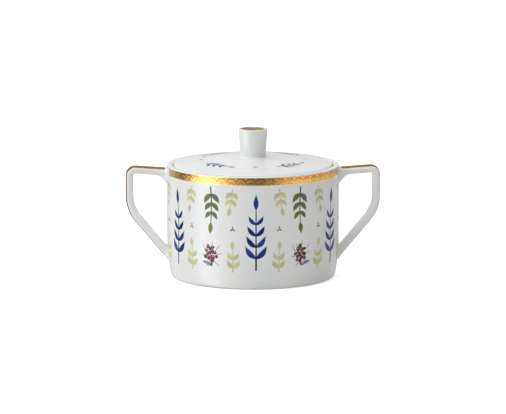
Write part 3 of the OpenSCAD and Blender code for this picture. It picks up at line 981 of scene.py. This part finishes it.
# ---- the lid: sparse sprays on white, x to the right and y to the back
lid_art = art_set("lid_print", "lid", on_lid)
LA = lid_art
for i_, (cols_, stem_) in enumerate(((NAVY, BLUE_STEM), (OLIVE, OLIVE_STEM), (NAVY, BLUE_STEM), (OLIVE, OLIVE_STEM))):
    az_ = 45.0 + 90.0 * i_ - 20.0
    sprig(LA, on_lid, 29.0 * math.cos(math.radians(az_)), 29.0 * math.sin(math.radians(az_)), az_ + 90, 18.0, 1.05, 5.4,
          cols_, stem_, pairs=3, bend=34.0, seed=600 + 50 * i_)
    az_ = math.radians(90.0 * i_)
    trefoil(LA, on_lid, 29.0 * math.cos(az_), 29.0 * math.sin(az_), 700 + 5 * i_)

for a in (*wall_art.values(), *lid_art.values()):
    a.build()

# ------------------------------------------------------------------ camera, floor, light

scene = bpy.context.scene
scene.view_settings.view_transform = "Standard"
scene.view_settings.look = "None"

cam_data = bpy.data.cameras.new("camera")
cam_data.sensor_width = 36.0
cam_data.sensor_fit = "HORIZONTAL"
cam_data.lens = 4475.9 / 506.0 * 36.0
cam_data.clip_start = 0.05
cam_data.clip_end = 200.0
cam = bpy.data.objects.new("camera", cam_data)
scene.collection.objects.link(cam)
target = Vector((0.0, 0.0, 0.03887))
el, az = math.radians(9.32), math.radians(-2.0)
cam.location = target + 2.5 * Vector((math.sin(az) * math.cos(el), -math.cos(az) * math.cos(el), math.sin(el)))
cam.rotation_euler = (target - cam.location).to_track_quat("-Z", "Y").to_euler()
scene.camera = cam

floor_me = bpy.data.meshes.new("floor")
floor_me.from_pydata([(-40, -40, -1e-4), (40, -40, -1e-4), (40, 40, -1e-4), (-40, 40, -1e-4)], [], [(0, 1, 2, 3)])
floor = bpy.data.objects.new("floor", floor_me)
scene.collection.objects.link(floor)
fm, fnt, fb = new_mat("floor_white")
val(fb, "Base Color", (0.86, 0.86, 0.86, 1.0))
val(fb, "Roughness", 0.9)
val(fb, "Specular IOR Level", 0.1)
val(fb, "Emission Color", (1.0, 1.0, 1.0, 1.0))
# seen from the camera the table reads as white; it throws no light of its own on the object
FLOOR_GLOW = 0.64
seen = node(fnt, "ShaderNodeLightPath").outputs["Is Camera Ray"]
glow = math_node(fnt, "MULTIPLY", seen, FLOOR_GLOW)
link(fnt, glow, fb.inputs["Emission Strength"])
floor_me.materials.append(fm)
floor.visible_glossy = False
ring_v = [(4.5 * math.cos(a), 4.5 * math.sin(a), z) for z in (-0.01, 2.6) for a in np.linspace(0, 2 * math.pi, 97)[:-1]]
back_me = bpy.data.meshes.new("backdrop")
back_me.from_pydata(ring_v, [], [(k, (k + 1) % 96, 96 + (k + 1) % 96, 96 + k) for k in range(96)])
back = bpy.data.objects.new("backdrop", back_me)
scene.collection.objects.link(back)
bm_, bnt_, bb_ = new_mat("backdrop_white")
val(bb_, "Emission Strength", 1.0)
bb_.inputs["Emission Color"].default_value = (1, 1, 1, 1)
bb_.inputs["Base Color"].default_value = (1, 1, 1, 1)
back_me.materials.append(bm_)
back.visible_glossy = back.visible_diffuse = back.visible_transmission = back.visible_shadow = False

# The studio. Above the horizon: a tent that is brighter on some sides than on others, under an
# even ceiling. Below it, where the glossy white table would mirror the room: a ring of cards, dark
# on the camera's side, bright on the left. Only mirror-like reflections reach that lower half.
world = bpy.data.worlds.new("studio")
world.use_nodes = True
wnt = world.node_tree
RING = [(-180, 0.55), (-165, 0.6), (-150, 0.64), (-135, 0.66), (-120, 0.28), (-105, 0.06), (-90, 1.0), (-75, 3.5), (-60, 3.6), (-45, 1.5),
        (-30, 0.80), (-15, 0.27), (0, 0.22), (15, 0.17), (30, 0.74), (45, 1.15), (60, 1.30), (75, 1.24), (90, 0.98), (105, 0.92), (120, 1.0),
        (135, 0.85), (150, 0.74), (165, 0.68), (180, 0.55)]
WARM = (1.0, 0.90, 0.76, 1.0)
WALLS = [(-180, 0.7), (-135, 0.9), (-90, 1.37), (-45, 1.31), (0, 0.50), (45, 0.08), (90, 0.03), (135, 0.52), (180, 0.7)]
CEILING = 0.03
RANGE = 16.0
wco = node(wnt, "ShaderNodeTexCoord").outputs["Generated"]
wsep = node(wnt, "ShaderNodeSeparateXYZ")
link(wnt, wco, wsep.inputs[0])
ang = math_node(wnt, "ARCTAN2", wsep.outputs["X"], math_node(wnt, "MULTIPLY", wsep.outputs["Y"], -1.0))
pos = node(wnt, "ShaderNodeMapRange", clamp=True)
link(wnt, ang, pos.inputs["Value"])
val(pos, "From Min", -math.pi)
val(pos, "From Max", math.pi)


def round_the_room(stops):
    """Radiance by azimuth, 0 on the camera's side, positive towards +X."""
    r = node(wnt, "ShaderNodeValToRGB")
    cr = r.color_ramp
    cr.interpolation = "LINEAR"
    for k, (a_, v_) in enumerate(stops):
        e_ = cr.elements[k] if k < 1 else (cr.elements[-1] if k == len(stops) - 1 else cr.elements.new((a_ + 180) / 360))
        e_.position = (a_ + 180) / 360
        e_.color = (v_ / RANGE, v_ / RANGE, v_ / RANGE, 1)
    link(wnt, pos.outputs[0], r.inputs[0])
    return r, math_node(wnt, "MULTIPLY", r.outputs[0], RANGE)


def blend_float(fac, a_, b_):
    n = node(wnt, "ShaderNodeMix", data_type="FLOAT")
    link(wnt, fac, n.inputs[0])
    for i, v in ((2, a_), (3, b_)):
        if isinstance(v, (int, float)):
            n.inputs[i].default_value = v
        else:
            link(wnt, v, n.inputs[i])
    return n


ring_ramp, ring = round_the_room(RING)
walls_ramp, walls = round_the_room(WALLS)
below = ramp01(wnt, wsep.outputs["Z"], -0.035, 0.0, 1.0, 0.0)
high = ramp01(wnt, wsep.outputs["Z"], 0.45, 0.92)
room = blend_float(high, walls, CEILING)
CEILING_NODE = room
wmix = blend_float(below, room.outputs[0], ring)
wbg = wnt.nodes["Background"]
# the cards are warm white, apart from the bright one on the left
warm = node(wnt, "ShaderNodeValToRGB")
for k, (a_, c_) in enumerate(((-180, (1, 1, 1, 1)), (180, (1, 1, 1, 1)), (-140, (1, 1, 1, 1)), (-125, WARM), (-108, WARM), (-92, (1, 1, 1, 1)),
                          (-52, (1, 1, 1, 1)), (-33, WARM), (118, WARM), (140, (1, 1, 1, 1)))):
    e_ = warm.color_ramp.elements[k] if k < 2 else warm.color_ramp.elements.new((a_ + 180) / 360)
    e_.position = (a_ + 180) / 360
    e_.color = c_
link(wnt, pos.outputs[0], warm.inputs[0])
link(wnt, mix_rgb(wnt, below, (1.0, 1.0, 1.0, 1.0), warm.outputs[0]), wbg.inputs["Color"])
link(wnt, wmix.outputs[0], wbg.inputs["Strength"])
scene.world = world


def softbox(name, azim, elev, dist, w, h, power, aim=(0, 0, 0.04), color=(1, 1, 1)):
    """azim is measured from the camera's side (-Y), positive towards +X."""
    d = bpy.data.lights.new(name, "AREA")
    d.shape = "RECTANGLE"
    d.size, d.size_y = w, h
    d.energy = power
    d.color = color
    o = bpy.data.objects.new(name, d)
    a, e = math.radians(azim), math.radians(elev)
    t = Vector(aim)
    o.location = t + dist * Vector((math.sin(a) * math.cos(e), -math.cos(a) * math.cos(e), math.sin(e)))
    o.rotation_euler = (t - o.location).to_track_quat("-Z", "Y").to_euler()
    scene.collection.objects.link(o)
    return o


LIGHTS = [
    ("overhead", 0, 88, 1.2, 1.4, 1.4, 11.0),
    ("high_left", -60, 50, 1.3, 0.7, 0.7, 1.2),
]
for spec in LIGHTS:
    softbox(*spec)
